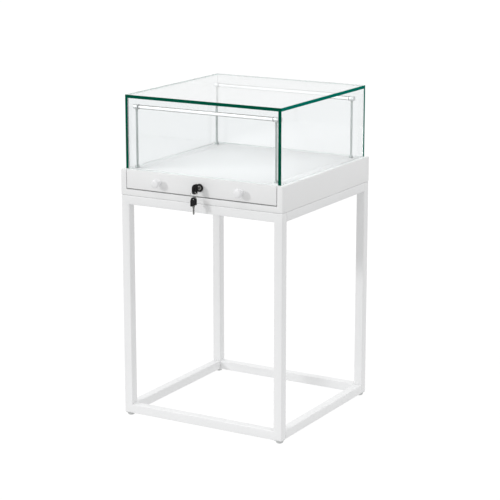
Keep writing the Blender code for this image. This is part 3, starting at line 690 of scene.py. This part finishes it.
def key(prefix, body, tip, outward, flat):
    """A bow with a raised rim and a hanging slot, and a cut, grooved blade with a shoulder."""
    outward, flat = Vector(outward), Vector(flat)
    boxes = {part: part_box(f"{prefix}key_{part}") for part in ("bow", "blade")}

    def span(part, along):
        ends = [(Vector(corner) - tip).dot(along) for corner in boxes[part]]
        return min(ends), max(ends)

    start, stop = span("bow", outward)
    wide = span("bow", flat)[1]
    end = wide - 0.0005
    across = outward.cross(flat)
    thick = span("bow", across)[1]
    outline = fillet([
        (start, -wide, 0.0012), (start, wide, 0.0012), (stop - 0.0072, end, 0.0020),
        (stop - 0.0012, end - 0.0036, 0.0030), (stop, end - 0.0090, 0.0030),
        (stop, -end + 0.0090, 0.0030), (stop - 0.0012, -end + 0.0036, 0.0030),
        (stop - 0.0072, -end, 0.0020),
    ], 5)
    bow = prism(outline, outward, flat, -thick, thick, tip, edge=0.0010, steps=3)
    slot_high, slot_low = stop - BOW_RIM, stop - 2 * BOW_RIM
    slot = fillet([(slot_low, -0.006, 0.0017), (slot_high, -0.006, 0.0017),
                   (slot_high, 0.006, 0.0017), (slot_low, 0.006, 0.0017)], 6)
    tools = [prism(slot, outward, flat, -0.01, 0.01, tip)]
    field = fillet([(start + BOW_RIM, -wide + 0.0032, 0.0016), (start + BOW_RIM, wide - 0.0032, 0.0016),
                    (slot_low - 0.0022, wide - 0.0036, 0.0016),
                    (slot_low - 0.0022, -wide + 0.0036, 0.0016)], 5)
    for side in (-1, 1):
        near, far = sorted((side * (thick - 0.0004), side * (thick + 0.002)))
        tools.append(prism(field, outward, flat, near, far, tip))
    piece(f"{prefix}key_grip", carved(bow, *tools), BLACK, body, f"{prefix}key_bow",
          smooth=40)

    reach = span("blade", outward)[1]
    shoulder = span("blade", flat)[1]
    t = span("blade", across)[1]
    half = BLADE_HALF
    upper = [(0.0, half * 0.3), (half * 0.55, half)]
    lower = [(0.0, -half * 0.3), (half * 0.55, -half)]
    for i, depth in enumerate(CUTS):
        x = 0.0034 + i * 0.0029
        upper += [(x, half), (x + 0.0008, half - depth), (x + 0.0017, half - depth), (x + 0.0025, half)]
        depth = CUTS[-1 - i]
        lower += [(x, -half), (x + 0.0008, -half + depth), (x + 0.0017, -half + depth),
                  (x + 0.0025, -half)]
    neck = start - NECK
    tail = [(neck, half), (neck, shoulder), (start - 0.0003, shoulder), (start - 0.0003, half),
            (reach, half)]
    outline = upper + tail + [(a, -b) for a, b in reversed(tail)] + list(reversed(lower))
    blade = prism(outline, outward, flat, -t, t, tip, edge=0.00015, steps=1)
    grooves = []
    for side, level in ((-1, 0.0008), (1, -0.0012)):
        near, far = sorted((side * (t - 0.00045), side * (t + 0.001)))
        grooves.append(prism([(-0.001, level - 0.0006), (neck + 0.0005, level - 0.0006),
                              (neck + 0.0005, level + 0.0006), (-0.001, level + 0.0006)],
                             outward, flat, near, far, tip))
    piece(f"{prefix}key_shaft", carved(blade, *grooves), STEEL, body, f"{prefix}key_blade",
          smooth=None)


key("", "key", Vector((lock.x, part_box("key_blade")[1].y, lock.z)), (0, -1, 0), (0, 0, 1))
low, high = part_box("spare_key_blade")
key("spare_", "spare_key", Vector(((low.x + high.x) / 2, (low.y + high.y) / 2, low.z)),
    (0, 0, 1), (0, 1, 0))

low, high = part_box("key_ring")
centre = (low + high) / 2
WIRE = 0.00042
radius = (high.x - low.x) / 2 - 0.0008
turns, steps = 2.1, 132
points = []
for i in range(steps + 1):
    angle = 2 * math.pi * turns * i / steps - 0.7
    shift = (i / steps - 0.5) * 0.00076
    points.append(centre + Vector((radius * math.cos(angle), shift, radius * math.sin(angle))))
piece("split_ring", sweep(points, WIRE, 10), NICKEL, "ring", "key_ring", smooth=60)


# ------------------------------------------------------------------ the slides under the deck
BEND = 0.0011
BALL = 0.00105
BALLS = 12                              # in each row
RUNNER_SHEET = 0.0012


def channel(node, open_to, sheet):
    """The bent outline of a C-shaped slide member, as (x, z) corners; open_to is -1 or 1."""
    low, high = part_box(node)
    web, tip = (low.x, high.x) if open_to > 0 else (high.x, low.x)
    inner = web + open_to * sheet
    corners = [
        (web, low.z, BEND), (tip, low.z, 0.0002), (tip, low.z + sheet, 0.0002),
        (inner, low.z + sheet, 0.0004), (inner, high.z - sheet, 0.0004),
        (tip, high.z - sheet, 0.0002), (tip, high.z, 0.0002), (web, high.z, BEND),
    ]
    return corners, web, low, high


def screw(at, direction, radius, rise):
    """A countersunk head with a cross recess, its top rise above the surface at at."""
    head = lathe(fillet([(0, -0.0012), (radius * 0.6, -0.0012), (radius, rise * 0.3, 0.0002),
                         (radius * 0.8, rise, 0.0003), (0, rise)], 3, closed=False), at, direction, 24)
    direction = Vector(direction)
    u = direction.orthogonal().normalized()
    v = direction.cross(u)
    wings = []
    for a, b in ((u, v), (v, u)):
        corners = [(-radius * 0.55, -radius * 0.11), (radius * 0.55, -radius * 0.11),
                   (radius * 0.55, radius * 0.11), (-radius * 0.55, radius * 0.11)]
        normal = a.cross(b)
        sign = 1 if normal.dot(direction) > 0 else -1
        near, far = sorted((sign * (rise - 0.0005), sign * (rise + 0.001)))
        wings.append(prism(corners, a, b, near, far, at))
    return carved(head, *wings)


for side, sx in zip(SIDES, (-1, 1)):
    for name, body, holes in (("outer", ROOT, (0.06, 0.30, 0.72, 0.95)),
                              ("middle", f"slide_middle_{side}", (0.10, 0.50, 0.90)),
                              ("inner", "deck", (0.08, 0.36, 0.64, 0.92))):
        node = f"slide_{name}_{side}"
        open_to = sx if name == "inner" else -sx
        corners, web, low, high = channel(node, open_to, RUNNER_SHEET)
        bar = prism([(x, z) for x, z in fillet(corners, 4)], (1, 0, 0), (0, 0, 1), -high.y, -low.y)
        mid_z, length = (low.z + high.z) / 2, high.y - low.y
        tools = [
            lathe([(0, -0.003), (0.0021, -0.003), (0.0021, 0.003), (0, 0.003)],
                  (web, low.y + share * length + 0.014, mid_z), (1, 0, 0), 20) for share in holes
        ]
        bar = carved(bar, *tools)
        extras = []
        if name == "middle":
            flange = (web + (low.x if open_to < 0 else high.x)) / 2
            for level in (high.z + BALL + 0.00005, low.z - BALL - 0.00005):
                for i in range(BALLS):
                    y = low.y + 0.02 + i * (length - 0.04) / (BALLS - 1)
                    ball = bmesh.new()
                    bmesh.ops.create_icosphere(ball, subdivisions=2, radius=BALL)
                    bmesh.ops.translate(ball, vec=(flange, y, level), verts=ball.verts)
                    extras.append(ball)
        else:
            inside = web + open_to * RUNNER_SHEET
            for share in holes:
                at = (inside, low.y + (share - 0.03) * length + 0.014, mid_z)
                extras.append(screw(at, (open_to, 0, 0), 0.0028, 0.0005))
        piece(f"runner_{name}_{side}", joined(bar, *extras), ZINC, body, node,
              smooth=40)


# ------------------------------------------------------------------ the inlet and the screws
low, high = inlet_low, inlet_high
flange, socket, depth = (high.x - low.x) / 2, 0.0033, 0.007
shaft = flange * 0.75
length = high.y - low.y
profile = fillet([
    (0, depth), (socket, depth), (socket, 0.0003, 0.0002), (socket + 0.0006, 0, 0.0002),
    (flange - 0.0004, 0, 0.0004), (flange, 0.0005, 0.0002), (flange, 0.0012), (shaft, 0.0012),
    (shaft, length - 0.0004, 0.0002), (shaft - 0.0005, length), (0, length),
], 3, closed=False)
collar = lathe(profile, (inlet.x, high.y, inlet.z), (0, -1, 0), 48)
pin = lathe(fillet([(0, 0.0009), (0.0008, 0.0011, 0.0003), (0.00105, 0.0016, 0.0003),
                    (0.00105, depth + 0.0005), (0, depth + 0.0005)], 3, closed=False),
            (inlet.x, high.y, inlet.z), (0, -1, 0), 20)
paint(pin, 1, lambda face: True)
piece("power_inlet", joined(collar, pin), (BLACK, NICKEL), ROOT, "dc_inlet",
      smooth=40)

low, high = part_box("box_bottom_panel")
heads = []
for x in (low.x + 0.012, (low.x + high.x) / 2, high.x - 0.012):
    for y in (low.y + 0.014, (low.y + high.y) / 2, high.y - 0.014):
        if abs(x - (low.x + high.x) / 2) > 0.01 or abs(y - (low.y + high.y) / 2) > 0.01:
            heads.append(screw((x, y, low.z), (0, 0, -1), 0.0030, 0.0002))
piece("underside_screws", joined(*heads), ZINC, ROOT, smooth=40)


# ------------------------------------------------------------------ the glass hood
ARRIS = 0.0005
for node in ("glass_front", "glass_rear", "glass_left", "glass_right", "glass_top"):
    low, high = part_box(node)
    size = high - low
    thin = min(range(3), key=lambda i: size[i])
    shape = soften(cells(*[(a, b) for a, b in zip(low, high)], lambda *_: True), ARRIS, 1)
    paint(shape, 1, lambda face: abs(face.normal[thin]) < 0.99)
    # the lower faces of the upright panes take the glowing pale material, which is painted light
    if thin != 2:
        paint(shape, 2, lambda face: face.normal.z < -0.9)
    # the front pane's left end takes the joint grey with its painted glow
    if node == "glass_front":
        paint(shape, 3, lambda face: face.normal.x < -0.9)
    piece(f"pane_{node}", shape, (GLASS, GLASS_EDGE, SEAL_PAINTED_GLOW, JOINT_PAINTED_GLOW), ROOT, node,
          smooth=None)


# ------------------------------------------------------------------ the light bars
SHADE_STRIP_TOP, SHADE_STRIP_THICK, SHADE_STRIP_HALF = 0.0051, 0.0021, 0.0026   # grey strips above and below the tube: painted shade standing in for the tube's upper and lower edge shading
DIFFUSER_WALL = 0.0011
for end in ENDS:
    node = f"light_tube_{end}"
    low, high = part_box(node)
    centre = (low + high) / 2
    half = (high.x - low.x) / 2
    tube = SHADE_STRIP_TOP - 0.0007
    bore = tube - DIFFUSER_WALL
    profile = [(bore, -half), (tube, -half), (tube, half), (bore, half)]
    shade_strips = []
    # the strips are painted shade, not a housing
    for sz in (-1, 1):
        near, far = sorted((sz * (SHADE_STRIP_TOP - SHADE_STRIP_THICK), sz * SHADE_STRIP_TOP))
        shade_strip = block(centre + Vector((-half, -SHADE_STRIP_HALF, near)), centre + Vector((half, SHADE_STRIP_HALF, far)),
                    0.0003, 2)
        shade_strips.append(paint(shade_strip, 1, lambda face: True))
    piece(f"diffuser_{end}", joined(lathe(profile, centre, (1, 0, 0), 40, closed=True), *shade_strips),
          (OPAL, BAR_SHADE_GREY), ROOT, node)
    for side, sx in zip(SIDES, (-1, 1)):
        node = f"light_cap_{end}_{side}"
        low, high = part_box(node)
        centre = (low + high) / 2
        radius, half = (high.z - low.z) / 2, (high.x - low.x) / 2
        bore = radius - 0.0006
        profile = fillet([
            (0, 0.001), (bore, 0.001), (bore, -half), (radius - 0.0001, -half, 0.0002),
            (radius, -half + 0.0012, 0.0003), (radius - 0.0005, -half + 0.0015),
            (radius - 0.0005, -half + 0.0020), (radius, -half + 0.0023, 0.0002),
            (radius, half, 0.0010), (radius * 0.55, half, 0.0003), (radius * 0.50, half - 0.0004),
            (0, half - 0.0004),
        ], 3, closed=False)
        joint_x = centre.x - sx * half
        cap = paint(lathe(profile, centre, (sx, 0, 0), 40), 1,
                    lambda face: abs(face.calc_center_median().x - joint_x) < 0.0026)
        piece(f"end_cap_{end}_{side}", cap, (CAP_SILVER, GASKET), ROOT, node)
        node = f"light_post_{end}_{side}"
        low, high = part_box(node)
        centre = (low + high) / 2
        foot, tall = (high.x - low.x) / 2, high.z - low.z
        stem = foot * 0.5
        profile = fillet([
            (0, 0), (foot, 0, 0.0002), (foot, 0.0016, 0.0006), (stem * 1.7, 0.0056, 0.0010),
            (stem, 0.0062, 0.0006), (stem, tall - 0.003, 0.0003), (stem * 1.25, tall - 0.0026),
            (stem * 1.25, tall), (0, tall),
        ], 3, closed=False)
        piece(f"post_{end}_{side}", lathe(profile, (centre.x, centre.y, low.z), (0, 0, 1), 32),
              SILVER, ROOT, node)


# ------------------------------------------------------------------ floor, light and camera
def floor():
    """Seen and mirrored as near white, and giving less light to the showcase, most of it close by."""
    made = Look("pale_floor")
    path = made.math("GREATER_THAN", made.node("LightPath").outputs["Diffuse Depth"], 0.5)
    away = made.node("VectorMath", {0: made.coords}, operation="LENGTH").outputs["Value"]
    given = made.spread(away, FLOOR_NEAR, FLOOR_FAR, 0.4, 2.5)
    level = made.node("Mix", {0: path, 2: 0.96, 3: given}).outputs[0]
    lit = made.node("Emission", {"Color": (1, 1, 1, 1), "Strength": level})
    paper = made.node("BsdfDiffuse", {
        "Color": made.blend(made.noise(3.0, 2.0), (0.070, 0.070, 0.070), (0.066, 0.066, 0.066))})
    both = made.node("AddShader", {0: lit.outputs[0], 1: paper.outputs[0]})
    under = made.node("NewGeometry").outputs["Backfacing"]
    gone = made.node("BsdfTransparent")
    shown = made.node("MixShader", {0: under, 1: both.outputs[0], 2: gone.outputs[0]})
    made.tree.links.new(shown.outputs[0], made.tree.nodes["Material Output"].inputs["Surface"])
    made.material.cycles.emission_sampling = "NONE"
    shape = bmesh.new()
    reach = 14.0
    shape.faces.new([shape.verts.new((x * reach, y * reach, -0.0002))
                     for x, y in ((-1, -1), (1, -1), (1, 1), (-1, 1))])
    mesh = bpy.data.meshes.new("floor")
    shape.to_mesh(mesh)
    shape.free()
    mesh.materials.append(made.material)
    plane = bpy.data.objects.new("floor", mesh)
    bpy.context.scene.collection.objects.link(plane)


def surroundings():
    """A white studio: seen and mirrored as plain white, and lighting mostly from above."""
    world = bpy.data.worlds.new("studio")
    bpy.context.scene.world = world
    world.use_nodes = True
    world.cycles.sampling_method = "NONE"
    tree = world.node_tree
    tree.nodes.clear()

    def node(kind, inputs=(), **settings):
        made = tree.nodes.new("ShaderNode" + kind)
        for key, value in settings.items():
            setattr(made, key, value)
        for key, value in dict(inputs).items():
            if isinstance(value, bpy.types.NodeSocket):
                tree.links.new(value, made.inputs[key])
            else:
                made.inputs[key].default_value = value
        return made

    direction = node("TexCoord").outputs["Generated"]
    toward = node("VectorMath", {0: direction, 1: SKY_SLOPE}, operation="DOT_PRODUCT")
    level = node("Math", {0: toward.outputs["Value"], 1: SKY_LOW}, operation="ADD")
    path = node("LightPath")
    through = node("Math", {0: path.outputs["Is Transmission Ray"], 1: HOOD_GAIN, 2: 1.0},
                   operation="MULTIPLY_ADD")
    given = node("Math", {0: level.outputs[0], 1: through.outputs[0]}, operation="MULTIPLY")
    lighting = node("Math", {0: path.outputs["Diffuse Depth"], 1: 0.5}, operation="GREATER_THAN")
    strength = node("Mix", {0: lighting.outputs[0], 2: 1.0, 3: given.outputs[0]})
    light = node("Background", {"Color": (1.0, 1.0, 1.0, 1), "Strength": strength.outputs[0]})
    output = node("OutputWorld")
    tree.links.new(light.outputs[0], output.inputs["Surface"])


def key_light():
    lamp = bpy.data.lights.new("key", "SUN")
    lamp.energy = SUN_POWER
    lamp.angle = math.radians(SUN_SPREAD)
    made = bpy.data.objects.new("key", lamp)
    made.rotation_mode = "QUATERNION"
    made.rotation_quaternion = Vector(SUN_WAY).to_track_quat("-Z", "Y")
    bpy.context.scene.collection.objects.link(made)


def camera():
    lens = bpy.data.cameras.new("camera")
    lens.lens = LENS
    lens.sensor_width = 36.0
    lens.clip_end = 60.0
    made = bpy.data.objects.new("camera", lens)
    made.location = CAMERA_AT
    made.rotation_euler = (math.radians(90 - LOOK_DOWN), 0, math.radians(LOOK_LEFT))
    bpy.context.scene.collection.objects.link(made)
    bpy.context.scene.camera = made


floor()
surroundings()
key_light()
camera()
bpy.context.scene.view_settings.view_transform = "Standard"
